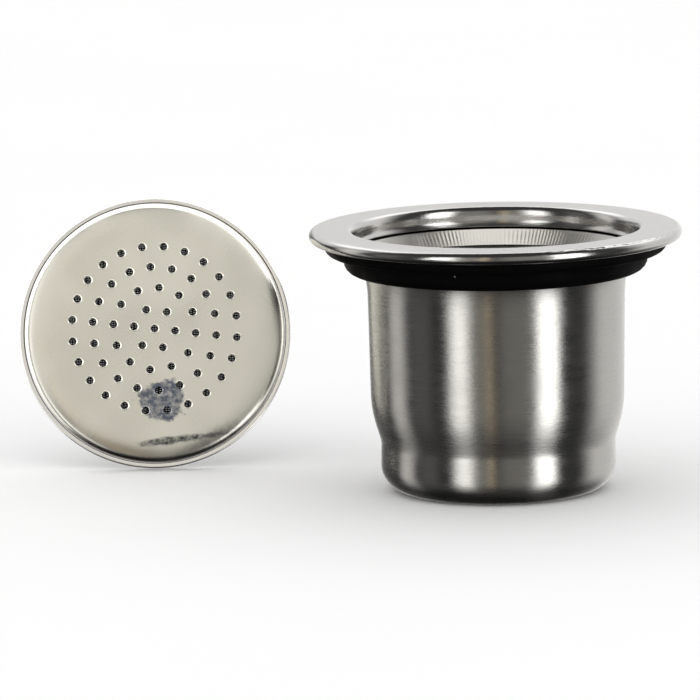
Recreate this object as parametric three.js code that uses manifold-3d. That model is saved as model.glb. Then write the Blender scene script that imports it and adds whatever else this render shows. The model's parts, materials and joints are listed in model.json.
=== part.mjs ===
// Basket strainer: a small drawn-steel cup with a rolled rim flange, a stepped rubber
// seal under the flange, a fine screen held on its perforated base, and a perforated
// press-in cap that stands beside the cup on its edge.
//
// Millimetres, +Z up. The origin is the centre of the cup's underside, and the cup's
// axis is the Z axis. Outlines are drawn as (radius, height) and turned about Z.

import * as THREE from "three";
import { mergeVertices } from "three/addons/utils/BufferGeometryUtils.js";
import Module from "manifold-3d";

// ---- Driving dimensions ----

const SHEET = 0.35; // steel sheet of the cup and the cap
const FIT_GAP = 0.05; // space left between pieces that touch in use
const ROUND_STEPS = 40; // flats round a full turn
const CURVE_STEPS = 3; // straight runs along a curve of an outline

const CUP_HEIGHT = 26.3; // underside of the base to the top of the flange

// Cup wall, outside radii and heights from the base up
const BASE_FLAT_R = 9.1;
const BASE_CORNER = 2.6; // rounding between the base and the foot
const NECK_R = 11.66;
const NECK_LOW = 4.7; // the wall swells outwards from here
const NECK_HIGH = 9.8; // and is full width from here
const WALL_LOW_R = 12.62;
const WALL_TOP_R = 12.77;
const WALL_TOP = 19.4;
const NECK_PULL = 0.9; // curve handle of the swell where it leaves the neck
const WALL_PULL = 2.8; // and where it meets the wall
const FLARE_R = 13.2;
const FLARE_LOW = 22.1; // the mouth opens as a cone from here
const FLARE_PULL = 0.8; // curve handle between the wall and the cone
const MOUTH_R = 14.5;
const MOUTH_HEIGHT = 24.05;

// Seat ring inside the flared mouth
const SEAT_LOW_R = 12.7;
const SEAT_HIGH_R = 13.8;
const SEAT_LOW = 22.65;
const SEAT_HIGH = 24.1;
const SEAT_WALL = 0.3;

// Rim flange: a flat ring with a rolled lip outside and a short sleeve inside
const FLANGE_R = 18.5;
const LIP_RADIUS = 0.6; // also the flange's thickness and the rounding into the bore
const BORE_R = 14.15;
const SLEEVE_CREASE_R = 14.1;
const SLEEVE_CREASE = 24.7;
const SLEEVE_END_R = 13.9;
const SLEEVE_WALL = 0.45;

// Rubber seal: a wide washer over a narrower collar
const WASHER_R = 17.0;
const WASHER_LOW = 23.85;
const WASHER_EDGE = 0.8; // rounding of its lower outer edge
const COLLAR_R = 15.1;
const COLLAR_LOW = 21.95;
const COLLAR_EDGE = 1.2;
const SEAL_REBATE = 0.25; // the collar's top sits this deep in the washer's underside
const SEAL_CLEARANCE = 0.15; // the rubber slides down the cup with this much room

// Base screen and the split wire ring that holds it
const SCREEN_R = 9.3;
const SCREEN_THICKNESS = 0.25;
const RETAINER_R = 9.5; // to the middle of the wire
const RETAINER_WIRE_R = 0.4;
const RETAINER_GAP = THREE.MathUtils.degToRad(24);
const RETAINER_STEPS = 32;

// Cap: a shallow perforated pan with a rolled hoop round its open edge
const CAP_HEIGHT = 2.0;
const CAP_WALL_R = 13.27;
const CAP_SHOULDER = 0.75;
const CAP_RIM_R = 13.85;
const CAP_RIM_HEIGHT = 0.8;
const CAP_SCREEN_R = 12.3;
const CAP_LEAN = THREE.MathUtils.degToRad(15); // leaned back from upright
const CAP_X = -34.5;
const CAP_Y = 17.7;

// Perforations: rings of 6, 12, 18 ... holes one pitch apart; ring 0 is one centre hole
const CAP_HOLES = { firstRing: 0, lastRing: 4, pitch: 2.11, radius: 0.36, turn: -7.1, offset: 0.29 };
const BASE_HOLES = { firstRing: 1, lastRing: 3, pitch: 2.2, radius: 0.4, turn: 0, offset: 0 };
const HOLE_SIDES = 6;

// ---- Tools ----

const wasm = await Module();
wasm.setup();

const UP = Math.PI / 2; // angles of an arc in an outline
const IN = Math.PI;
const DOWN = -Math.PI / 2;
const OUT = 0;

// A closed solid of revolution about Z. The outline runs anticlockwise in (radius, height).
function revolve(points) {
  return new THREE.LatheGeometry(points, ROUND_STEPS).rotateX(Math.PI / 2);
}

function toSolid(geometry) {
  const bare = geometry.clone();
  bare.deleteAttribute("normal");
  bare.deleteAttribute("uv");
  const merged = mergeVertices(bare, 1e-4);
  const mesh = new wasm.Mesh({
    numProp: 3,
    vertProperties: merged.attributes.position.array,
    triVerts: new Uint32Array(merged.index.array),
  });
  return new wasm.Manifold(mesh);
}

function toGeometry(solid) {
  const mesh = solid.getMesh();
  const geometry = new THREE.BufferGeometry();
  geometry.setAttribute("position", new THREE.BufferAttribute(mesh.vertProperties, 3));
  geometry.setIndex(new THREE.BufferAttribute(mesh.triVerts, 1));
  geometry.computeVertexNormals();
  return geometry;
}

function holeCentres({ firstRing, lastRing, pitch, turn, offset }) {
  const centres = [];
  for (let ring = firstRing; ring <= lastRing; ring++) {
    const count = Math.max(1, 6 * ring);
    for (let i = 0; i < count; i++) {
      const angle = THREE.MathUtils.degToRad(turn + (360 * i) / count);
      const x = ring * pitch * Math.cos(angle);
      const y = ring * pitch * Math.sin(angle);
      centres.push(new THREE.Vector2(x, y + offset));
    }
  }
  return centres;
}

// Punches a pattern of holes through the sheet that lies at the given height.
function punch(geometry, pattern, height) {
  let plate = toSolid(geometry);
  for (const centre of holeCentres(pattern)) {
    const tool = new THREE.CylinderGeometry(pattern.radius, pattern.radius, 4 * SHEET, HOLE_SIDES);
    tool.rotateX(Math.PI / 2);
    tool.translate(centre.x, centre.y, height);
    plate = plate.subtract(toSolid(tool));
  }
  return toGeometry(plate);
}

function part(name, geometry, color, roughness, metalness) {
  const material = new THREE.MeshStandardMaterial({ color, roughness, metalness });
  const mesh = new THREE.Mesh(geometry, material);
  mesh.name = name;
  return mesh;
}

// ---- Cup ----

// One side of the cup's sheet from the axis to the mouth; inset moves it into the steel.
function cupSide(inset) {
  const taper = (WALL_TOP_R - WALL_LOW_R) / (WALL_TOP - NECK_HIGH);
  const side = new THREE.Path();
  side.moveTo(0, inset);
  side.lineTo(BASE_FLAT_R, inset);
  side.absarc(BASE_FLAT_R, BASE_CORNER, BASE_CORNER - inset, DOWN, OUT);
  side.lineTo(NECK_R - inset, NECK_LOW);
  side.bezierCurveTo(
    NECK_R - inset, NECK_LOW + NECK_PULL,
    WALL_LOW_R - taper * WALL_PULL - inset, NECK_HIGH - WALL_PULL,
    WALL_LOW_R - inset, NECK_HIGH,
  );
  side.lineTo(WALL_TOP_R - inset, WALL_TOP);
  side.quadraticCurveTo(WALL_TOP_R - inset, FLARE_LOW - FLARE_PULL, FLARE_R - inset, FLARE_LOW);
  side.lineTo(MOUTH_R - inset, MOUTH_HEIGHT);
  return side.getPoints(CURVE_STEPS);
}

function cupShell() {
  const outline = [...cupSide(0), ...cupSide(SHEET).reverse()];
  const geometry = punch(revolve(outline), BASE_HOLES, SHEET / 2);
  return part("cup_shell", geometry, 0x9b9a96, 0.32, 1);
}

function seatRing() {
  const outline = new THREE.Path();
  outline.moveTo(SEAT_LOW_R, SEAT_LOW);
  outline.lineTo(SEAT_LOW_R + SEAT_WALL, SEAT_LOW);
  outline.lineTo(SEAT_HIGH_R + SEAT_WALL, SEAT_HIGH);
  outline.lineTo(SEAT_HIGH_R, SEAT_HIGH);
  outline.closePath();
  return part("seat_ring", revolve(outline.getPoints()), 0xb9b8b2, 0.35, 1);
}

function rimFlange() {
  const sleeveEnd = SEAT_HIGH + FIT_GAP;
  const underside = CUP_HEIGHT - LIP_RADIUS;
  const outline = new THREE.Path();
  outline.moveTo(SLEEVE_END_R, sleeveEnd);
  outline.lineTo(SLEEVE_END_R + SLEEVE_WALL, sleeveEnd);
  outline.lineTo(BORE_R + SLEEVE_WALL, SLEEVE_CREASE);
  outline.lineTo(BORE_R + SLEEVE_WALL, underside);
  outline.absarc(FLANGE_R - LIP_RADIUS, underside, LIP_RADIUS, IN, IN + 3 * UP);
  outline.absarc(BORE_R + LIP_RADIUS, underside, LIP_RADIUS, UP, IN);
  outline.lineTo(SLEEVE_CREASE_R, SLEEVE_CREASE);
  outline.closePath();
  return part("rim_flange", revolve(outline.getPoints(CURVE_STEPS)), 0xc9c8c4, 0.42, 1);
}

// ---- Seal ----

function sealWasher() {
  const boreR = BORE_R + SLEEVE_WALL + SEAL_CLEARANCE;
  const top = CUP_HEIGHT - LIP_RADIUS - FIT_GAP;
  const rebateR = COLLAR_R + FIT_GAP;
  const outline = new THREE.Path();
  outline.moveTo(boreR, WASHER_LOW + SEAL_REBATE);
  outline.lineTo(rebateR, WASHER_LOW + SEAL_REBATE);
  outline.lineTo(rebateR, WASHER_LOW);
  outline.lineTo(WASHER_R - WASHER_EDGE, WASHER_LOW);
  outline.absarc(WASHER_R - WASHER_EDGE, WASHER_LOW + WASHER_EDGE, WASHER_EDGE, DOWN, OUT);
  outline.lineTo(WASHER_R, top);
  outline.lineTo(boreR, top);
  outline.closePath();
  return part("seal_washer", revolve(outline.getPoints(CURVE_STEPS)), 0x101010, 0.75, 0);
}

function sealCollar() {
  const top = WASHER_LOW + SEAL_REBATE - FIT_GAP;
  const slope = (MOUTH_R - FLARE_R) / (MOUTH_HEIGHT - FLARE_LOW);
  const boreLowR = FLARE_R + SEAL_CLEARANCE;
  const boreTopR = boreLowR + slope * (top - COLLAR_LOW);
  const outline = new THREE.Path();
  outline.moveTo(boreLowR, COLLAR_LOW);
  outline.lineTo(COLLAR_R - COLLAR_EDGE, COLLAR_LOW);
  outline.absarc(COLLAR_R - COLLAR_EDGE, COLLAR_LOW + COLLAR_EDGE, COLLAR_EDGE, DOWN, OUT);
  outline.lineTo(COLLAR_R, top);
  outline.lineTo(boreTopR, top);
  outline.closePath();
  return part("seal_collar", revolve(outline.getPoints(CURVE_STEPS)), 0x0d0d0d, 0.7, 0);
}

// ---- Base screen ----

function disc(radius, low, high) {
  const outline = new THREE.Path();
  outline.moveTo(0, low);
  outline.lineTo(radius, low);
  outline.lineTo(radius, high);
  outline.lineTo(0, high);
  return revolve(outline.getPoints());
}

function baseScreen() {
  const low = SHEET + FIT_GAP;
  return part("base_screen", disc(SCREEN_R, low, low + SCREEN_THICKNESS), 0x8d8d8a, 0.5, 1);
}

// The middle line of the split wire ring.
class SplitRing extends THREE.Curve {
  constructor(radius, gap, height) {
    super();
    this.radius = radius;
    this.gap = gap;
    this.height = height;
  }
  getPoint(t, target = new THREE.Vector3()) {
    const angle = this.gap / 2 + t * (2 * Math.PI - this.gap);
    const x = this.radius * Math.cos(angle);
    const y = this.radius * Math.sin(angle);
    return target.set(x, y, this.height);
  }
}

function screenRetainer() {
  const height = SHEET + SCREEN_THICKNESS + 2 * FIT_GAP + RETAINER_WIRE_R;
  const wire = new THREE.Shape().absarc(0, 0, RETAINER_WIRE_R, 0, 2 * Math.PI);
  const geometry = new THREE.ExtrudeGeometry(wire, {
    extrudePath: new SplitRing(RETAINER_R, RETAINER_GAP, height),
    steps: RETAINER_STEPS,
    curveSegments: CURVE_STEPS,
    bevelEnabled: false,
  });
  return part("screen_retainer", geometry, 0xa8a7a3, 0.3, 1);
}

// ---- Cap, drawn with its face up and its open edge at height 0 ----

function capPlate() {
  const shoulderR = CAP_WALL_R - CAP_SHOULDER;
  const shoulderZ = CAP_HEIGHT - CAP_SHOULDER;
  const outline = new THREE.Path();
  outline.moveTo(0, CAP_HEIGHT - SHEET);
  outline.lineTo(shoulderR, CAP_HEIGHT - SHEET);
  outline.absarc(shoulderR, shoulderZ, CAP_SHOULDER - SHEET, UP, OUT, true);
  outline.lineTo(CAP_WALL_R - SHEET, 0);
  outline.lineTo(CAP_WALL_R, 0);
  outline.absarc(shoulderR, shoulderZ, CAP_SHOULDER, OUT, UP);
  outline.lineTo(0, CAP_HEIGHT);
  const pan = revolve(outline.getPoints(CURVE_STEPS));
  return part("cap_plate", punch(pan, CAP_HOLES, CAP_HEIGHT - SHEET / 2), 0xc4c2b6, 0.35, 1);
}

function capRim() {
  const inside = CAP_WALL_R + FIT_GAP;
  const round = CAP_RIM_HEIGHT / 2;
  const outline = new THREE.Path();
  outline.moveTo(inside, 0);
  outline.lineTo(CAP_RIM_R - round, 0);
  outline.absarc(CAP_RIM_R - round, round, round, DOWN, UP);
  outline.lineTo(inside, CAP_RIM_HEIGHT);
  outline.closePath();
  return part("cap_rim", revolve(outline.getPoints(CURVE_STEPS)), 0xd0cfcb, 0.25, 1);
}

function capScreen() {
  const high = CAP_HEIGHT - SHEET - FIT_GAP;
  return part("cap_screen", disc(CAP_SCREEN_R, high - SCREEN_THICKNESS, high), 0x6e6a63, 0.5, 1);
}

function cap() {
  const group = new THREE.Group();
  group.add(capPlate(), capRim(), capScreen());
  group.rotation.x = Math.PI / 2 - CAP_LEAN;
  group.position.set(CAP_X, CAP_Y, CAP_RIM_R * Math.cos(CAP_LEAN));
  return group;
}

// ---- Assembly ----

const strainer = new THREE.Group();
strainer.add(cupShell(), seatRing(), rimFlange());
strainer.add(sealWasher(), sealCollar());
strainer.add(baseScreen(), screenRetainer());
strainer.add(cap());

export default strainer;
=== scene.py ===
"""Looks of a small basket strainer: a drawn-steel cup with a rolled rim flange, a stepped rubber
seal, a base screen, and a perforated cap that stands beside the cup on its edge.

Outlines are lists of (radius, height) in millimetres. Every piece is built in its own frame, with
its axis on Z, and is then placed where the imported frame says.
"""

import json
import math

import bmesh
import bpy
import numpy as np
from mathutils import Matrix, Vector
from mathutils.geometry import delaunay_2d_cdt

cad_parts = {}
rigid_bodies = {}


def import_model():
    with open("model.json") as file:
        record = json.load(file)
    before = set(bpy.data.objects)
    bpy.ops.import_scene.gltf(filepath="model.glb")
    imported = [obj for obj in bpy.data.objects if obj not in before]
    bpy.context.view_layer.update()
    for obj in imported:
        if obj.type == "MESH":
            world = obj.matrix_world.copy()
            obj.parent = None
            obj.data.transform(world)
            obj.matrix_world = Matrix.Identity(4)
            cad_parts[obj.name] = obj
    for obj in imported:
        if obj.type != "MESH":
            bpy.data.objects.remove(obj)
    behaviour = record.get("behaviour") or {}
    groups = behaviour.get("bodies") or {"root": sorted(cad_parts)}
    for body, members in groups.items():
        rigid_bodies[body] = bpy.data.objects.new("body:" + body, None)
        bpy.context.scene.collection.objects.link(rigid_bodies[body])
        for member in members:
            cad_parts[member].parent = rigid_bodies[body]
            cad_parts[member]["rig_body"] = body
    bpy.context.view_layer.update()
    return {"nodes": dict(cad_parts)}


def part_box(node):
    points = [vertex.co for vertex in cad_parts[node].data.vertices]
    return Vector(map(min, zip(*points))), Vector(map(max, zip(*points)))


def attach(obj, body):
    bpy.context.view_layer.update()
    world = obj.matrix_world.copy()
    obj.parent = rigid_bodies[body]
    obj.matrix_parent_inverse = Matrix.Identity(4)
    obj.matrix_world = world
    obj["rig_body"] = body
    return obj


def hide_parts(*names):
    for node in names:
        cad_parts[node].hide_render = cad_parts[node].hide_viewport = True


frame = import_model()

MM = 0.001
ROUND = 256  # flats round a full turn
SHARP_ANGLE = math.radians(40)

# ---- Sizes, in millimetres ----


def box_mm(node):
    """Lowest and highest corners of a CAD node, in millimetres."""
    low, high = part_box(node)
    return low / MM, high / MM


FLANGE_LOW, FLANGE_HIGH = box_mm("rim_flange")
_, CUP_HIGH = box_mm("cup_shell")
SEAT_LOW, SEAT_HIGH = box_mm("seat_ring")
WASHER_LOW, WASHER_HIGH = box_mm("seal_washer")
COLLAR_LOW, COLLAR_HIGH = box_mm("seal_collar")
SCREEN_LOW, SCREEN_HIGH = box_mm("base_screen")
WIRE_LOW, WIRE_HIGH = box_mm("screen_retainer")

SHEET = 0.35
FIT_GAP = 0.05
TOP = FLANGE_HIGH.z
FLANGE_R = FLANGE_HIGH.x
LIP_R = 0.6
BORE_R = 14.15
SLEEVE_WALL = 0.45
SLEEVE_CREASE_Z = 24.7
SLEEVE_SHADOW_GAP = 0.15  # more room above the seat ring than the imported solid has
LIP_WEAR_R = 17.2  # the lip's wear reaches in to here

BASE_FLAT_R = 9.1
BASE_CORNER = 2.6
NECK_R, NECK_LOW, NECK_HIGH = 11.66, 4.7, 9.8
WALL_LOW_R, WALL_TOP_R, WALL_TOP = 12.62, 12.77, 19.4
FLARE_R, FLARE_LOW = 13.2, 22.1

SEAT_FLUTES = 220
SEAT_FLUTE_DEPTH = 0.022

RUBBER_EDGE = 0.15
WASHER_EDGE = 0.8
COLLAR_EDGE = 1.2
SEAL_CLEARANCE = 0.15

CAP_HEIGHT = 2.0
CAP_WALL_R = 13.27
CAP_SHOULDER = 0.75
CAP_RIM_R = 13.85
CAP_RIM_HEIGHT = 0.8
CAP_HOOP_EDGE_R = 0.13
# Handling smears on the cap's face: middle, reach, turn in degrees, soft edge, strength and tint.
CAP_SMEARS = [
    ((0.6, -7.0), (2.35, 1.75), 0.0, 0.3, 1.0, (0.11, 0.125, 0.17)),
    ((2.8, -11.0), (4.4, 0.36), 6.0, 0.9, 0.95, (0.05, 0.05, 0.06)),
    ((6.0, -10.9), (3.6, 0.8), 28.0, 1.2, 0.45, (0.12, 0.12, 0.125)),
]
CAP_FALL_R = 10.9  # the flat face starts to fall towards the shoulder here
CAP_FALL = 0.12  # how far it has fallen at the shoulder
CAP_EDGE_R = 0.08  # both edges of the wall's open end
CAP_SCREEN_R = 12.3
CAP_SCREEN_WIRE_R = 0.045

CLOTH_PITCH = 0.6  # between the straight wires of both screens

HOLE_SIDES = 24
HOLE_LIP = 0.13  # width of the drawn-in edge round a hole
# Holes in rings of 6, 12, 18 ...: turn is in degrees, offset moves the middle along Y, and raised is
# how far the holes' edges stand out of the face.
CAP_HOLES = {
    "first": 0, "last": 4, "pitch": 2.11, "radius": 0.36, "turn": -7.1, "offset": 0.29, "raised": 0.018,
}
BASE_HOLES = {
    "first": 1, "last": 3, "pitch": 2.2, "radius": 0.4, "turn": 0.0, "offset": 0.0, "raised": -0.012,
}

# ---- Outlines ----


def arc(centre, radius, start, end, steps=10):
    """Points along an arc; angles in degrees, 0 outwards and 90 up."""
    angles = np.radians(np.linspace(start, end, steps + 1))
    return [(centre[0] + radius * math.cos(a), centre[1] + radius * math.sin(a)) for a in angles]


def bezier(a, b, c, d, steps=20):
    """Points along a cubic curve from a to d."""
    points = []
    for t in np.linspace(0, 1, steps + 1):
        weights = ((1 - t) ** 3, 3 * t * (1 - t) ** 2, 3 * t * t * (1 - t), t**3)
        points.append(tuple(sum(w * p[i] for w, p in zip(weights, (a, b, c, d))) for i in (0, 1)))
    return points


def straight(a, b, step=0.6):
    """Points from a to b, at most one step apart, so that long runs can be shaped."""
    count = max(1, math.ceil(math.dist(a, b) / step))
    return [(a[0] + (b[0] - a[0]) * i / count, a[1] + (b[1] - a[1]) * i / count) for i in range(count + 1)]


def rounded(corners, radii, steps=5):
    """A closed outline whose corners are rounded with the radii given."""
    points = []
    for i, (corner, radius) in enumerate(zip(corners, radii)):
        here = Vector(corner)
        back = (Vector(corners[i - 1]) - here).normalized()
        ahead = (Vector(corners[(i + 1) % len(corners)]) - here).normalized()
        half = back.angle(ahead) / 2
        reach = radius / math.tan(half)
        middle = here + (back + ahead).normalized() * (radius / math.sin(half))
        start = here + back * reach - middle
        end = here + ahead * reach - middle
        for t in np.linspace(0, 1, steps + 1):
            points.append(tuple(middle + start.slerp(end, t) * radius))
    return points


def tidy(points):
    """The outline without points that repeat the one before."""
    kept = [points[0]]
    for point in points[1:]:
        if math.dist(point, kept[-1]) > 1e-5:
            kept.append(point)
    return kept


# ---- Meshes ----


def turned(outline, closed=True, shape=None, steps=ROUND):
    """Vertices and faces of an outline turned about Z. shape(angle, r, z) may move each point."""
    outline = tidy(outline)
    if closed and math.dist(outline[0], outline[-1]) < 1e-5:
        outline = outline[:-1]
    count = len(outline)
    vertices, faces = [], []
    for i in range(steps):
        angle = 2 * math.pi * i / steps
        for r, z in outline:
            if shape:
                r, z = shape(angle, r, z)
            vertices.append((r * math.cos(angle), r * math.sin(angle), z))
    for i in range(steps):
        a, b = i * count, (i + 1) % steps * count
        for j in range(count if closed else count - 1):
            k = (j + 1) % count
            faces.append((a + j, b + j, b + k, a + k))
    return vertices, faces


def hole_centres(pattern):
    centres = []
    for ring in range(pattern["first"], pattern["last"] + 1):
        count = max(1, 6 * ring)
        for i in range(count):
            angle = math.radians(pattern["turn"]) + 2 * math.pi * i / count
            x = ring * pattern["pitch"] * math.cos(angle)
            y = ring * pattern["pitch"] * math.sin(angle) + pattern["offset"]
            centres.append((x, y))
    return centres


def circle(centre, radius, steps):
    angles = [2 * math.pi * i / steps for i in range(steps)]
    return [(centre[0] + radius * math.cos(a), centre[1] + radius * math.sin(a)) for a in angles]


def flat_sheet(radius, height, centres, hole_radius):
    """A flat disc at a height, with round holes, as triangles."""
    points = [Vector(p) for p in circle((0, 0), radius, ROUND)]
    loops = [list(range(ROUND))]
    for centre in centres:
        first = len(points)
        points += [Vector(p) for p in circle(centre, hole_radius, HOLE_SIDES)]
        loops.append(list(range(first + HOLE_SIDES - 1, first - 1, -1)))
    made, _, triangles, _, _, _ = delaunay_2d_cdt(points, [], loops, 1, 1e-7)
    kept = []
    for triangle in triangles:
        middle = sum((made[i] for i in triangle), Vector((0, 0))) / 3
        if all((middle - Vector(c)).length > hole_radius * 0.97 for c in centres):
            kept.append(tuple(triangle))
    return [(p.x, p.y, height) for p in made], kept


def hole_walls(centres, radius, face, back, raised):
    """Rounded edges and walls of the holes, from the sheet's face to its back."""
    inward = 1 if back > face else -1
    profile = [(radius + HOLE_LIP, face)]
    profile.append((radius + HOLE_LIP * 0.6, face - inward * raised))
    profile.append((radius + HOLE_LIP * 0.25, face + inward * 0.012))
    profile.append((radius, face + inward * 0.08))
    profile.append((radius, back))
    vertices, faces = [], []
    for centre in centres:
        for r, z in profile:
            first = len(vertices)
            vertices += [(x, y, z) for x, y in circle(centre, r, HOLE_SIDES)]
            if (r, z) == profile[0]:
                continue
            for i in range(HOLE_SIDES):
                j = (i + 1) % HOLE_SIDES
                faces.append((first - HOLE_SIDES + i, first - HOLE_SIDES + j, first + j, first + i))
    return vertices, faces


def joined(*parts):
    """Several (vertices, faces) as one."""
    vertices, faces = [], []
    for more_vertices, more_faces in parts:
        first = len(vertices)
        vertices += more_vertices
        faces += [tuple(first + i for i in face) for face in more_faces]
    return vertices, faces


def pan(outline, pattern, shape=None):
    """A perforated pan. The open outline runs from the edge of the sheet's flat face, round the
    pan's edge, to the edge of the sheet's flat back; the holes go through the flat."""
    (face_r, face_z), (back_r, back_z) = outline[0], outline[-1]
    centres = hole_centres(pattern)
    radius = pattern["radius"]
    return joined(
        turned(outline, closed=False, shape=shape),
        flat_sheet(face_r, face_z, centres, radius + HOLE_LIP),
        flat_sheet(back_r, back_z, centres, radius),
        hole_walls(centres, radius, face_z, back_z, pattern["raised"]),
    )


def wire(path, radius, sides):
    """A round wire along a path of points, closed with rounded ends."""
    path = [Vector(p) for p in path]
    rings = []
    for i, point in enumerate(path):
        ahead = path[min(i + 1, len(path) - 1)] - path[max(i - 1, 0)]
        ahead.normalize()
        side = ahead.cross(Vector((0, 0, 1))).normalized()
        up = side.cross(ahead)
        rings.append((point, side, up, ahead, radius))
    first, last = rings[0], rings[-1]
    start = (first[0] - first[3] * radius * 0.5, *first[1:4], radius * 0.75)
    end = (last[0] + last[3] * radius * 0.5, *last[1:4], radius * 0.75)
    rings = [start, *rings, end]
    vertices, faces = [], []
    for point, side, up, _, r in rings:
        for k in range(sides):
            angle = 2 * math.pi * k / sides
            vertices.append(tuple(point + side * (r * math.cos(angle)) + up * (r * math.sin(angle))))
    for i in range(len(rings) - 1):
        a, b = i * sides, (i + 1) * sides
        for k in range(sides):
            m = (k + 1) % sides
            faces.append((a + k, a + m, b + m, b + k))
    faces.append(tuple(range(sides - 1, -1, -1)))
    faces.append(tuple(range((len(rings) - 1) * sides, len(rings) * sides)))
    return vertices, faces


def filter_cloth(radius, top, wire_r):
    """A round of filter cloth: straight wires one way, and packed wires woven over and under them."""
    middle = top - 3 * wire_r
    parts = []
    straights = int((radius - wire_r) / CLOTH_PITCH)
    for k in range(-straights, straights + 1):
        x = k * CLOTH_PITCH
        half = math.sqrt(radius**2 - x**2) - wire_r
        parts.append(wire([(x, -half, middle), (x, 0, middle), (x, half, middle)], wire_r, 6))
    woven = int((radius - wire_r) / (2 * wire_r))
    for k in range(-woven, woven + 1):
        y = k * 2 * wire_r
        half = math.sqrt(radius**2 - y**2) - wire_r
        side = 1 if k % 2 else -1
        steps = max(2, math.ceil(8 * half / CLOTH_PITCH))
        path = []
        for i in range(steps + 1):
            x = -half + 2 * half * i / steps
            path.append((x, y, middle + side * 2 * wire_r * math.cos(math.pi * x / CLOTH_PITCH)))
        parts.append(wire(path, wire_r, 4))
    return joined(*parts)


def piece(name, node, material, shape, place=Matrix.Identity(4)):
    """Makes the object for (vertices, faces) in millimetres, in place of a CAD node."""
    vertices, faces = shape
    mesh = bpy.data.meshes.new(name)
    mesh.from_pydata([Vector(v) * MM for v in vertices], [], faces)
    welded = bmesh.new()
    welded.from_mesh(mesh)
    bmesh.ops.remove_doubles(welded, verts=welded.verts, dist=1e-7)
    bmesh.ops.recalc_face_normals(welded, faces=welded.faces)
    welded.to_mesh(mesh)
    welded.free()
    mesh.shade_smooth()
    mesh.set_sharp_from_angle(angle=SHARP_ANGLE)
    for face in mesh.polygons:
        if len(face.vertices) == 3:  # only the flat sheets are made of triangles
            face.use_smooth = False
    mesh.materials.append(material)
    made = bpy.data.objects.new(name, mesh)
    bpy.context.scene.collection.objects.link(made)
    made.matrix_world = place
    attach(made, frame["nodes"][node]["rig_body"])
    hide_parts(node)
    return made


# ---- Node trees ----


class Graph:
    """A node tree being wired up."""

    def __init__(self, tree):
        self.tree = tree
        tree.nodes.clear()

    def add(self, kind, inputs=None, **settings):
        """Adds a node; an input is a value, or a socket to link."""
        node = self.tree.nodes.new(kind)
        for key, value in settings.items():
            setattr(node, key, value)
        for socket, value in (inputs or {}).items():
            if isinstance(value, bpy.types.NodeSocket):
                self.tree.links.new(value, node.inputs[socket])
            else:
                node.inputs[socket].default_value = value
        return node

    def math(self, operation, *values):
        inputs = dict(enumerate(values))
        return self.add("ShaderNodeMath", inputs, operation=operation).outputs[0]

    def between(self, value, low, high, to_low=0.0, to_high=1.0):
        """Value taken smoothly from low..high to to_low..to_high, and held outside it."""
        inputs = {"Value": value, "From Min": low, "From Max": high, "To Min": to_low, "To Max": to_high}
        node = self.add("ShaderNodeMapRange", inputs, interpolation_type="SMOOTHSTEP")
        return node.outputs["Result"]

    def noise(self, vector, scale, detail=4.0, roughness=0.6):
        inputs = {"Vector": vector, "Scale": scale, "Detail": detail, "Roughness": roughness}
        return self.add("ShaderNodeTexNoise", inputs).outputs["Fac"]

    def vector(self, x, y, z):
        return self.add("ShaderNodeCombineXYZ", {"X": x, "Y": y, "Z": z}).outputs[0]

    def mix(self, factor, a, b, blend="MIX"):
        """Mixes two colours; 6, 7 and 2 are the Mix node's colour sockets."""
        inputs = {"Factor": factor, 6: a, 7: b}
        return self.add("ShaderNodeMix", inputs, data_type="RGBA", blend_type=blend).outputs[2]

    def bump(self, height, strength, distance, normal=None):
        inputs = {"Height": height, "Strength": strength, "Distance": distance}
        if normal:
            inputs["Normal"] = normal
        return self.add("ShaderNodeBump", inputs).outputs["Normal"]


def rgba(red, green, blue):
    return (red, green, blue, 1.0)


def new_material(name):
    material = bpy.data.materials.new(name)
    material.use_nodes = True
    return material, Graph(material.node_tree)


def finish_material(material, graph, inputs):
    shader = graph.add("ShaderNodeBsdfPrincipled", inputs)
    graph.add("ShaderNodeOutputMaterial", {"Surface": shader.outputs[0]})
    return material


def round_coordinates(graph):
    """Object place, and the radius plus height that changes across a turned surface."""
    place = graph.add("ShaderNodeTexCoord").outputs["Object"]
    x, y, z = graph.add("ShaderNodeSeparateXYZ", {"Vector": place}).outputs
    squares = graph.math("ADD", graph.math("MULTIPLY", x, x), graph.math("MULTIPLY", y, y))
    across = graph.math("ADD", graph.math("SQRT", squares), z)
    return place, x, y, across


LINE_SCALE_ROUND = 160.0  # brushing lines per metre round the axis, so each is about 6 mm long
NICK_SCALE = 1100.0  # the same for the short nicks, about 1 mm long


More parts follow.
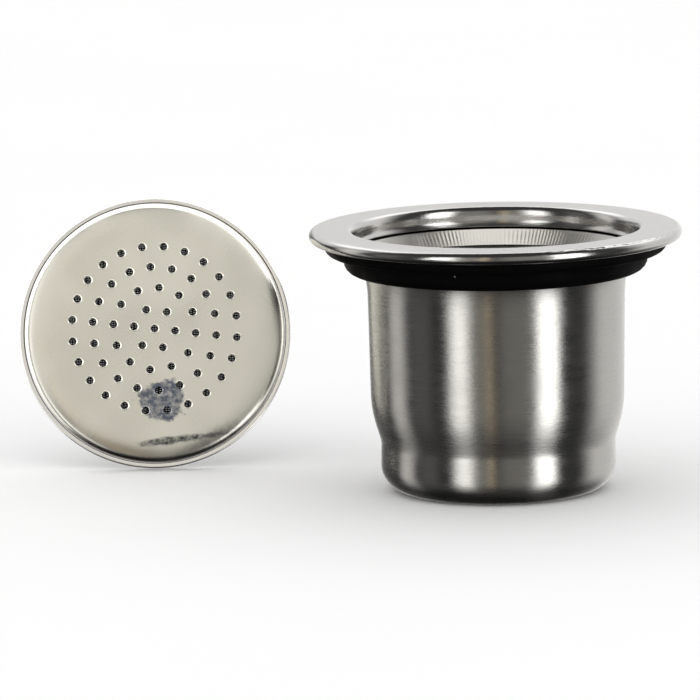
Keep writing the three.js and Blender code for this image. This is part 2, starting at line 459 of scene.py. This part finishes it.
def brushed_steel(
    name, colour, roughness, spread=0.05, anisotropy=0.85, line_scale=9000.0, depth=0.3, polished=None
):
    """Steel brushed round its axis: fine lines, long faint streaks, short nicks, a little mottling.
    With polished, surfaces that don't face up have that roughness instead."""
    material, graph = new_material(name)
    place, x, y, across = round_coordinates(graph)
    long = graph.math("MULTIPLY", x, LINE_SCALE_ROUND), graph.math("MULTIPLY", y, LINE_SCALE_ROUND)
    fine = graph.noise(graph.vector(*long, graph.math("MULTIPLY", across, line_scale)), 1.0, 6.0, 0.7)
    streaks = graph.noise(graph.vector(*long, graph.math("MULTIPLY", across, line_scale / 9)), 1.0, 3.0)
    short = graph.math("MULTIPLY", x, NICK_SCALE), graph.math("MULTIPLY", y, NICK_SCALE)
    nick_rows = graph.math("MULTIPLY", across, line_scale * 0.7)
    nicks = graph.noise(graph.vector(*short, nick_rows), 1.0, 3.0, 0.7)
    mottle = graph.noise(place, 260.0, 3.0)
    rough = graph.between(graph.mix(0.5, fine, streaks), 0.3, 0.7, roughness - spread, roughness + spread)
    rough = graph.math("ADD", rough, graph.between(mottle, 0.35, 0.65, -0.02, 0.03))
    if polished:
        facing = graph.add("ShaderNodeTexCoord").outputs["Normal"]
        up = graph.add("ShaderNodeSeparateXYZ", {"Vector": facing}).outputs["Z"]
        share = graph.between(up, 0.9, 0.99)
        matt = graph.math("MULTIPLY", rough, share)
        bright = graph.math("MULTIPLY", graph.math("SUBTRACT", 1.0, share), polished)
        rough = graph.math("ADD", matt, bright)
    shade = graph.between(graph.mix(0.6, streaks, mottle), 0.3, 0.7, 0.93, 1.0)
    shade = graph.math("MULTIPLY", shade, graph.between(fine, 0.3, 0.7, 0.9, 1.0))
    base = graph.mix(1.0, rgba(*colour), shade, "MULTIPLY")
    normal = graph.bump(fine, depth, 0.000004)
    normal = graph.bump(streaks, depth, 0.00001, normal)
    normal = graph.bump(nicks, depth, 0.000022, normal)
    tangent = graph.add("ShaderNodeTangent", direction_type="RADIAL", axis="Z").outputs[0]
    return finish_material(material, graph, {
        "Base Color": base, "Metallic": 1.0, "Roughness": rough, "Normal": normal,
        "Anisotropic": anisotropy, "Anisotropic Rotation": 0.25, "Tangent": tangent,
    })


def smeared(graph, place, base, smear):
    """The base colour with one ragged, shapeless smear laid over it."""
    middle, reach, turn, soft, strength, tint = smear
    centre = (middle[0] * MM, middle[1] * MM, 0.0)
    away = graph.add("ShaderNodeVectorMath", {0: place, 1: centre}, operation="SUBTRACT").outputs[0]
    inputs = {"Vector": away, "Angle": -math.radians(turn)}
    turned_back = graph.add("ShaderNodeVectorRotate", inputs, rotation_type="Z_AXIS").outputs[0]
    x, y, _ = graph.add("ShaderNodeSeparateXYZ", {"Vector": turned_back}).outputs
    along = graph.math("DIVIDE", x, reach[0] * MM)
    across = graph.math("DIVIDE", y, reach[1] * MM)
    spread = graph.vector(along, across, 0.0)
    off = graph.add("ShaderNodeVectorMath", {0: spread}, operation="LENGTH").outputs["Value"]
    cloud = graph.noise(place, 420.0, 5.0, 0.65)
    swirl = graph.noise(place, 1500.0, 4.0, 0.7)
    ragged = graph.math("ADD", off, graph.between(cloud, 0.25, 0.75, 0.45, -0.45))
    share = graph.math("MULTIPLY", graph.between(ragged, 1.0 + soft / 2, 1.0 - soft / 2), strength)
    share = graph.math("MULTIPLY", share, graph.between(swirl, 0.3, 0.75, 1.15, 0.35))
    return graph.mix(share, base, rgba(*tint))


def satin_steel(name, colour, roughness, depth=0.25, smears=()):
    """Rolled sheet with an even satin face: fine grain, slow faint mottling, and handling smears."""
    material, graph = new_material(name)
    place = graph.add("ShaderNodeTexCoord").outputs["Object"]
    grain = graph.noise(place, 7000.0, 3.0)
    mottle = graph.noise(place, 170.0, 1.0)
    rough = graph.between(mottle, 0.3, 0.7, roughness - 0.05, roughness + 0.05)
    shade = graph.between(graph.mix(0.35, mottle, grain), 0.3, 0.7, 0.88, 1.0)
    base = graph.mix(1.0, rgba(*colour), shade, "MULTIPLY")
    for smear in smears:
        base = smeared(graph, place, base, smear)
    normal = graph.bump(grain, depth, 0.000002)
    normal = graph.bump(mottle, depth, 0.000012, normal)
    return finish_material(material, graph, {
        "Base Color": base, "Metallic": 1.0, "Roughness": rough, "Normal": normal,
    })


def black_rubber(name):
    """Matt black rubber with a faint skin and a few pale specks of lint."""
    material, graph = new_material(name)
    place = graph.add("ShaderNodeTexCoord").outputs["Object"]
    skin = graph.noise(place, 2500.0, 5.0)
    cloud = graph.noise(place, 220.0, 3.0)
    specks = graph.between(graph.noise(place, 1500.0, 1.0), 0.80, 0.84)
    black, lint = rgba(0.0015, 0.0015, 0.0015), rgba(0.3, 0.3, 0.29)
    base = graph.mix(graph.math("MULTIPLY", specks, 0.5), black, lint)
    rough = graph.between(cloud, 0.3, 0.7, 0.5, 0.72)
    return finish_material(material, graph, {
        "Base Color": base, "Roughness": rough, "Specular IOR Level": 0.06,
        "Normal": graph.bump(skin, 0.35, 0.00002),
    })


def screen_steel(name, colour):
    """Fine steel wire, dulled by use. Its colour is given; the cap's near-black one is painted shade for
    its holes.
    """
    material, graph = new_material(name)
    place = graph.add("ShaderNodeTexCoord").outputs["Object"]
    cloud = graph.noise(place, 400.0, 4.0)
    shade = graph.between(cloud, 0.3, 0.7, 0.6, 1.0)
    return finish_material(material, graph, {
        "Base Color": graph.mix(1.0, rgba(*colour), shade, "MULTIPLY"), "Metallic": 1.0,
        "Roughness": graph.between(cloud, 0.3, 0.7, 0.35, 0.55),
        "Normal": graph.bump(graph.noise(place, 9000.0), 0.2, 0.000005),
    })


# ---- Cup ----


def cup_side(inset):
    """One side of the cup's sheet from the base's flat up to the mouth; inset moves into the steel."""
    points = arc((BASE_FLAT_R, BASE_CORNER), BASE_CORNER - inset, -90, 0, 16)
    points += straight(points[-1], (NECK_R - inset, NECK_LOW))
    points += bezier(
        (NECK_R - inset, NECK_LOW), (NECK_R - inset, NECK_LOW + 0.9),
        (WALL_LOW_R - 0.04 - inset, NECK_HIGH - 2.8), (WALL_LOW_R - inset, NECK_HIGH),
    )
    points += straight(points[-1], (WALL_TOP_R - inset, WALL_TOP))
    points += bezier(
        (WALL_TOP_R - inset, WALL_TOP), (WALL_TOP_R + 0.02 - inset, FLARE_LOW - 1.4),
        (FLARE_R - 0.2 - inset, FLARE_LOW - 0.4), (FLARE_R - inset, FLARE_LOW),
    )
    return points + [(CUP_HIGH.x - inset, CUP_HIGH.z)]


def drawn_wall(angle, r, z):
    """Slight out-of-round of a drawn wall, none at the base or the mouth."""
    share = math.sin(math.pi * min(1.0, max(0.0, z / CUP_HIGH.z)))
    wave = math.sin(3 * angle + 0.4 * z) + 0.6 * math.sin(7 * angle - 0.3 * z + 1.0)
    return r + 0.008 * share * wave, z


def make_cup(material):
    outline = cup_side(0) + cup_side(SHEET)[::-1]
    shape = pan(tidy(outline), BASE_HOLES, drawn_wall)
    return piece("cup_wall", "cup_shell", material, shape)


def make_seat_ring(material):
    """The cone ring, with the fine upright flutes that drawing leaves."""
    inner_low, inner_high = 12.7, 13.8
    outer_high = SEAT_HIGH.x
    outline = [(outer_high - 1.1, SEAT_LOW.z), (outer_high, SEAT_HIGH.z)]
    outline += straight((inner_high, SEAT_HIGH.z), (inner_low, SEAT_LOW.z), 0.12)

    def fluted(angle, r, z):
        share = (z - SEAT_LOW.z) / (SEAT_HIGH.z - SEAT_LOW.z)
        if abs(r - (inner_low + (inner_high - inner_low) * share)) > 1e-3:
            return r, z
        swell = 0.5 + 0.5 * math.sin(5.3 * math.sin(3 * angle) + 9 * angle)
        wave = math.sin(SEAT_FLUTES * angle + 2.5 * math.sin(11 * angle))
        return r - SEAT_FLUTE_DEPTH * (0.4 + 0.6 * swell) * wave * math.sin(math.pi * share) ** 0.5, z

    shape = turned(outline, shape=fluted, steps=4 * ROUND)
    return piece("seat_cone", "seat_ring", material, shape)


def lip_wear(angle, r, z):
    """The rolled lip is not quite even: pressed down at the left front, creased at the right."""
    turn = math.degrees(angle) - 270  # 0 at the front, positive to the right
    share = min(1.0, max(0.0, (r - LIP_WEAR_R) / 0.8)) if z > TOP - LIP_R - 0.05 else 0.0
    pressed = math.exp(-(((turn + 34) / 17) ** 2))
    z -= 0.09 * share * pressed
    crease = math.exp(-(((turn - 46) / 26) ** 4))
    middle = FLANGE_R - 0.38 + 0.06 * math.sin(0.45 * turn) + 0.05 * math.sin(1.3 * turn + 1)
    if z > TOP - LIP_R:
        z -= 0.10 * crease * math.exp(-(((r - middle) / 0.06) ** 2))
    return r, z


def make_flange(material):
    """Rolled lip, flat top and sleeve; the lip's curl ends in a fine groove under the flange."""
    underside = TOP - LIP_R
    sleeve_r = BORE_R + SLEEVE_WALL
    end = FLANGE_LOW.z + SLEEVE_SHADOW_GAP
    outline = arc((14.02, end + 0.12), 0.12, 180, 270, 3)
    outline += arc((14.23, end + 0.12), 0.12, 270, 360, 3)
    outline += [(sleeve_r, SLEEVE_CREASE_Z), (sleeve_r, underside - 0.15)]
    outline += arc((sleeve_r + 0.15, underside - 0.15), 0.15, 180, 90, 4)
    outline += [(FLANGE_R - 2 * LIP_R - 0.1, underside), (FLANGE_R - 2 * LIP_R + 0.03, underside + 0.12)]
    outline += arc((FLANGE_R - LIP_R, underside), LIP_R, 185, 450, 48)
    outline += straight((FLANGE_R - LIP_R - 0.05, TOP), (LIP_WEAR_R, TOP), 0.08)
    outline += straight((LIP_WEAR_R, TOP), (BORE_R + LIP_R + 0.05, TOP), 0.3)
    outline += bezier(
        (BORE_R + LIP_R, TOP), (BORE_R + 0.2, TOP - 0.02),
        (BORE_R, TOP - 0.35), (BORE_R - 0.03, TOP - 0.95),
    )
    outline += bezier(
        (BORE_R - 0.03, TOP - 0.95), (BORE_R - 0.05, SLEEVE_CREASE_Z + 0.2),
        (BORE_R - 0.06, SLEEVE_CREASE_Z + 0.1), (BORE_R - 0.1, SLEEVE_CREASE_Z), 5
    )
    shape = turned(outline, shape=lip_wear, steps=2 * ROUND)
    return piece("flange_ring", "rim_flange", material, shape)


def make_seal(material):
    bore = BORE_R + SLEEVE_WALL + SEAL_CLEARANCE
    rebate_r = COLLAR_HIGH.x + FIT_GAP
    rebate_z = COLLAR_HIGH.z + FIT_GAP
    corners = [
        (bore, rebate_z), (rebate_r, rebate_z), (rebate_r, WASHER_LOW.z),
        (WASHER_HIGH.x, WASHER_LOW.z), (WASHER_HIGH.x, WASHER_HIGH.z), (bore, WASHER_HIGH.z),
    ]
    shape = turned(rounded(corners, [0.05, 0.05, 0.05, WASHER_EDGE, RUBBER_EDGE, 0.05]))
    piece("seal_upper", "seal_washer", material, shape)
    slope = (CUP_HIGH.x - FLARE_R) / (CUP_HIGH.z - FLARE_LOW)
    low_r = FLARE_R + SEAL_CLEARANCE
    high_r = low_r + slope * (COLLAR_HIGH.z - COLLAR_LOW.z)
    corners = [
        (low_r, COLLAR_LOW.z), (COLLAR_HIGH.x, COLLAR_LOW.z),
        (COLLAR_HIGH.x, COLLAR_HIGH.z), (high_r, COLLAR_HIGH.z),
    ]
    shape = turned(rounded(corners, [0.1, COLLAR_EDGE, 0.05, 0.05]))
    piece("seal_lower", "seal_collar", material, shape)


def make_base_screen(screen, ring):
    thickness = SCREEN_HIGH.z - SCREEN_LOW.z
    shape = filter_cloth(SCREEN_HIGH.x - 0.1, SCREEN_HIGH.z, thickness / 6)  # six wire radii thick
    piece("base_weave", "base_screen", screen, shape)
    wire_r = (WIRE_HIGH.z - WIRE_LOW.z) / 2
    middle = (WIRE_HIGH.z + WIRE_LOW.z) / 2
    radius = WIRE_HIGH.y - wire_r
    half_gap = math.radians(12) + 0.06  # the wire's split, and room for its rounded ends
    path = []
    for angle in np.linspace(half_gap, 2 * math.pi - half_gap, 180):
        path.append((radius * math.cos(angle), radius * math.sin(angle), middle))
    piece("retainer_wire", "screen_retainer", ring, wire(path, wire_r, 20))


# ---- Cap ----


def cap_frame():
    """The cap's own frame: origin in the middle of its open edge, Z out of its face."""
    points = np.array([v.co for v in frame["nodes"]["cap_rim"].data.vertices])
    middle = (points.min(axis=0) + points.max(axis=0)) / 2
    out = Vector(np.linalg.svd(points - points.mean(axis=0))[2][2])
    if out.y > 0:
        out.negate()
    across = Vector((1, 0, 0))
    up = out.cross(across)
    heights = (points - middle) @ np.array(out)
    origin = Vector(middle) + out * float(heights.min())
    return Matrix.Translation(origin) @ Matrix((across, up, out)).transposed().to_4x4()


def make_cap(face, rim, screen):
    place = cap_frame()
    shoulder = (CAP_WALL_R - CAP_SHOULDER, CAP_HEIGHT - CAP_SHOULDER)
    lowered = (shoulder[0], shoulder[1] - CAP_FALL)
    start_angle = 76  # where the fall meets the shoulder's arc
    turn_down = arc(lowered, CAP_SHOULDER, start_angle, 0, 16)
    slope = math.radians(90 - start_angle)
    handle = (turn_down[0][0] - 0.45 * math.cos(slope), turn_down[0][1] + 0.45 * math.sin(slope))
    outline = bezier((CAP_FALL_R, CAP_HEIGHT), (CAP_FALL_R + 0.6, CAP_HEIGHT), handle, turn_down[0], 16)
    outline += turn_down
    edge = CAP_EDGE_R
    outline += straight((CAP_WALL_R, lowered[1]), (CAP_WALL_R, edge))
    outline += arc((CAP_WALL_R - edge, edge), edge, 0, -90, 3)
    outline += arc((CAP_WALL_R - SHEET + edge, edge), edge, -90, -180, 3)
    outline += straight((CAP_WALL_R - SHEET, edge), (CAP_WALL_R - SHEET, shoulder[1]))
    outline += arc(shoulder, CAP_SHOULDER - SHEET, 0, 90, 8)
    plate = piece("cap_face", "cap_plate", face, pan(tidy(outline), CAP_HOLES), place)

    # The hoop's inner upper edge is bevelled, which leaves a groove beside the wall.
    inner = CAP_WALL_R + FIT_GAP
    edge = CAP_HOOP_EDGE_R
    outline = [(inner, 0.05), (inner + 0.05, 0)]
    outline += arc((CAP_RIM_R - edge, edge), edge, -90, 0, 10)
    outline += arc((CAP_RIM_R - edge, CAP_RIM_HEIGHT - edge), edge, 0, 93, 10)
    outline += [(inner + 0.09, CAP_RIM_HEIGHT - 0.02), (inner, CAP_RIM_HEIGHT - 0.25)]
    hoop = piece("cap_hoop", "cap_rim", rim, turned(outline), place)

    shape = filter_cloth(CAP_SCREEN_R, CAP_HEIGHT - SHEET - 2 * FIT_GAP, CAP_SCREEN_WIRE_R)
    cloth = piece("cap_weave", "cap_screen", screen, shape, place)
    return [plate, hoop, cloth]


# ---- Studio ----

# Upright cards round the cup: azimuth, half width and soft edge in degrees (0 is the camera's
# side, positive to the right), brightness, tint, and the elevation of the lower end.
CARDS = [
    (-36.0, 2.5, 12.0, 1.9, (1.0, 1.0, 0.98), -52.0),
    (46.0, 4.5, 11.0, 2.9, (1.0, 1.0, 0.99), -52.0),
    (17.0, 9.0, 14.0, 0.20, (1.0, 0.97, 0.88), -52.0),
    (-19.0, 5.0, 14.0, 0.22, (1.0, 0.96, 0.86), -52.0),
    (-8.5, 0.4, 2.4, 0.65, (1.0, 0.74, 0.44), -52.0),
    (-74.0, 4.0, 12.0, 0.08, (1.0, 0.98, 0.95), -52.0),
    (-104.0, 3.0, 14.0, 0.72, (1.0, 0.98, 0.94), -50.0),
    (143.0, 32.0, 28.0, 0.76, (1.0, 0.99, 0.97), -45.0),
    (-178.0, 12.0, 34.0, 0.12, (1.0, 0.99, 0.97), -45.0),
]
CARD_FOOT = 25.0  # degrees over which a card's lower end fades in
CARD_TOP, CARD_TOP_END = 24.0, 48.0  # every card fades out upwards between these elevations
GAP_AT, GAP_HALF, GAP_END, GAP_LEVEL = -42.0, 6.0, 24.0, 0.35  # where the cards are dimmer
WALL_FOOT, WALL_HEAD = (4.0, 14.0), (48.0, 62.0)  # elevations over which the wall behind fades
WALL_DIM, WALL_BRIGHT = 0.80, 1.5
DARK = 0.045  # what is left between the cards
DARK_BELOW = 0.25  # the share of it that is left below
AMBIENT = 1.08  # what the floor and the rubber are lit by


def studio_world():
    """Dark overhead and towards the camera, bright behind, with soft upright cards round it."""
    world = bpy.data.worlds.new("studio")
    world.use_nodes = True
    bpy.context.scene.world = world
    graph = Graph(world.node_tree)
    direction = graph.add("ShaderNodeTexCoord").outputs["Generated"]
    x, y, z = graph.add("ShaderNodeSeparateXYZ", {"Vector": direction}).outputs
    azimuth = graph.math("DEGREES", graph.math("ARCTAN2", x, graph.math("MULTIPLY", y, -1.0)))
    elevation = graph.math("DEGREES", graph.math("ARCSINE", z))

    light = rgba(0.0, 0.0, 0.0)
    for middle, half, soft, brightness, tint, low in CARDS:
        turn = graph.math("WRAP", graph.math("SUBTRACT", azimuth, middle), 180.0, -180.0)
        off = graph.math("ABSOLUTE", turn)
        share = graph.between(off, half + soft, half)
        share = graph.math("MULTIPLY", share, graph.between(elevation, low, low + CARD_FOOT))
        card = rgba(*(brightness * t for t in tint))
        light = graph.mix(share, light, card, "ADD")
    # The cards end in the dark above, and are dimmer in a gap below the horizon.
    tall = graph.between(elevation, CARD_TOP_END, CARD_TOP)
    from_gap = graph.math("ABSOLUTE", graph.math("SUBTRACT", elevation, GAP_AT))
    gap = graph.between(from_gap, GAP_END, GAP_HALF, 1.0, GAP_LEVEL)
    light = graph.mix(graph.math("MULTIPLY", tall, gap), rgba(0.0, 0.0, 0.0), light)
    # A bright wall behind, brightest above the horizon.
    behind = graph.between(graph.math("ABSOLUTE", azimuth), 100.0, 140.0)
    foot = graph.between(elevation, *WALL_FOOT)
    high = graph.math("MULTIPLY", foot, graph.between(elevation, WALL_HEAD[1], WALL_HEAD[0]))
    wall = graph.between(elevation, 22.0, 38.0, WALL_DIM, WALL_BRIGHT)
    light = graph.mix(graph.math("MULTIPLY", behind, high), light, graph.vector(wall, wall, wall))
    level = graph.between(elevation, -60.0, -35.0, DARK_BELOW, 1.0)
    light = graph.mix(level, light, rgba(DARK, DARK, DARK), "ADD")

    path = graph.add("ShaderNodeLightPath").outputs
    light = graph.mix(path["Is Diffuse Ray"], light, rgba(*[AMBIENT] * 3))
    light = graph.mix(path["Is Camera Ray"], light, rgba(1.0, 1.0, 1.0))
    background = graph.add("ShaderNodeBackground", {"Color": light, "Strength": 1.0})
    graph.add("ShaderNodeOutputWorld", {"Surface": background.outputs[0]})


def soft_box(name, centre, target, width, height, radiance, tint, lit):
    """A soft box that only lights the pieces in a collection."""
    data = bpy.data.lights.new(name, "AREA")
    data.shape = "RECTANGLE"
    data.size, data.size_y = width, height
    data.energy = 4 * width * height * radiance  # a rectangle of these watts has this radiance
    data.color = tint
    box = bpy.data.objects.new(name, data)
    bpy.context.scene.collection.objects.link(box)
    facing = (Vector(centre) - Vector(target)).to_track_quat("Z", "Y")
    box.matrix_world = Matrix.Translation(centre) @ facing.to_matrix().to_4x4()
    box.visible_camera = False
    box.light_linking.receiver_collection = lit
    return box


# Soft boxes for the cap's shoulder: turn round the cap (0 right, 90 up) and lean off the camera's line.
EDGE_BOXES = [(-12, 62), (20, 68), (55, 80), (90, 90), (125, 98), (160, 104), (190, 98)]
EDGE_BOX_DISTANCE = 0.34
EDGE_BOX_SIZE = 0.46
# Radiance of the soft boxes.
FACE_LIGHT = 0.51
EDGE_LIGHT = 0.95
SEAT_LIGHT = 1.05


def cap_lights(pieces):
    """The cap has its own soft boxes: a warm one in front, white ones round its shoulder."""
    lit = bpy.data.collections.new("cap_pieces")
    for made in pieces:
        lit.objects.link(made)
    middle = sum((p.matrix_world.translation for p in pieces), Vector()) / len(pieces)
    front = middle + Vector((0.0, -0.43, 0.245))
    soft_box("cap_front_box", front, middle, 0.50, 0.34, FACE_LIGHT, (1.0, 0.995, 0.94), lit)
    for turn, lean in EDGE_BOXES:
        turn, lean = math.radians(turn), math.radians(lean)
        out = Vector((math.sin(lean) * math.cos(turn), -math.cos(lean), math.sin(lean) * math.sin(turn)))
        centre = middle + out * EDGE_BOX_DISTANCE
        size = EDGE_BOX_SIZE
        soft_box("cap_edge_box", centre, middle, size, size, EDGE_LIGHT, (1.0, 1.0, 0.98), lit)


def seat_light(seat):
    """The seat ring has its own soft box, above the mouth."""
    lit = bpy.data.collections.new("seat_pieces")
    lit.objects.link(seat)
    above = Vector((0.0, -0.05, 0.35))
    mouth = Vector((0.0, 0.0, 0.02))
    soft_box("seat_box", above, mouth, 0.34, 0.40, SEAT_LIGHT, (1.0, 0.99, 0.96), lit)


def studio_floor():
    """A plain pale floor. The steel sees the studio's own lower half instead of it."""
    size = 3.0
    mesh = bpy.data.meshes.new("floor")
    corners = [(-size, -size, 0), (size, -size, 0), (size, size, 0), (-size, size, 0)]
    mesh.from_pydata(corners, [], [(0, 1, 2, 3)])
    material, graph = new_material("floor_paper")
    place = graph.add("ShaderNodeTexCoord").outputs["Object"]
    shade = graph.between(graph.noise(place, 9.0, 2.0), 0.3, 0.7, 0.99, 1.0)
    base = graph.mix(1.0, rgba(0.94, 0.94, 0.94), shade, "MULTIPLY")
    mesh.materials.append(finish_material(material, graph, {"Base Color": base, "Roughness": 0.9}))
    floor = bpy.data.objects.new("floor", mesh)
    bpy.context.scene.collection.objects.link(floor)
    floor.visible_glossy = False


CAMERA_DISTANCE = 0.650
CAMERA_ELEVATION = math.radians(9.2)
CAMERA_ROLL = math.radians(1.05)
FIELD = 0.06965  # width of the picture at the cup's axis
LOOK_AT = Vector((-0.01462, 0.0, 0.01417))


def studio_camera():
    data = bpy.data.cameras.new("camera")
    data.sensor_width = 36.0
    data.lens = data.sensor_width * CAMERA_DISTANCE / FIELD
    data.clip_start, data.clip_end = 0.01, 10.0
    camera = bpy.data.objects.new("camera", data)
    bpy.context.scene.collection.objects.link(camera)
    up = Vector((0, math.sin(CAMERA_ELEVATION), math.cos(CAMERA_ELEVATION)))
    back = Vector((0, -math.cos(CAMERA_ELEVATION), math.sin(CAMERA_ELEVATION)))
    right = Vector((1, 0, 0))
    tilted_right = right * math.cos(CAMERA_ROLL) - up * math.sin(CAMERA_ROLL)
    tilted_up = right * math.sin(CAMERA_ROLL) + up * math.cos(CAMERA_ROLL)
    turn = Matrix((tilted_right, tilted_up, back)).transposed().to_4x4()
    camera.matrix_world = Matrix.Translation(LOOK_AT + back * CAMERA_DISTANCE) @ turn
    bpy.context.scene.camera = camera


def main():
    cup_steel = brushed_steel("cup_brushed_steel", (0.60, 0.59, 0.565), 0.27, depth=0.45)
    flange_steel = brushed_steel(
        "flange_satin_steel", (0.72, 0.71, 0.69), 0.33, anisotropy=0.3, depth=0.45, polished=0.15
    )
    seat_steel = brushed_steel("seat_fluted_steel", (0.66, 0.64, 0.60), 0.34, anisotropy=0.0, depth=0.3)
    rim_steel = brushed_steel("cap_hoop_steel", (0.84, 0.83, 0.81), 0.2, anisotropy=0.2, depth=0.08)
    wire_steel = brushed_steel("wire_steel", (0.62, 0.61, 0.59), 0.25, anisotropy=0.2)
    cap_steel = satin_steel("cap_satin_steel", (0.72, 0.70, 0.64), 0.28, smears=CAP_SMEARS)
    mesh_steel = screen_steel("base_mesh_steel", (0.42, 0.41, 0.39))
    # The cap's mesh gets a near-black colour: painted shade for the dark inside of the cap's holes.
    hole_shade_mesh = screen_steel("cap_mesh_painted_shade", (0.012, 0.011, 0.010))
    rubber = black_rubber("seal_rubber")

    make_cup(cup_steel)
    seat = make_seat_ring(seat_steel)
    make_flange(flange_steel)
    make_seal(rubber)
    make_base_screen(mesh_steel, wire_steel)
    cap = make_cap(cap_steel, rim_steel, hole_shade_mesh)

    studio_world()
    cap_lights(cap[:2])
    seat_light(seat)
    studio_floor()
    studio_camera()
    bpy.context.scene.view_settings.view_transform = "Standard"


main()
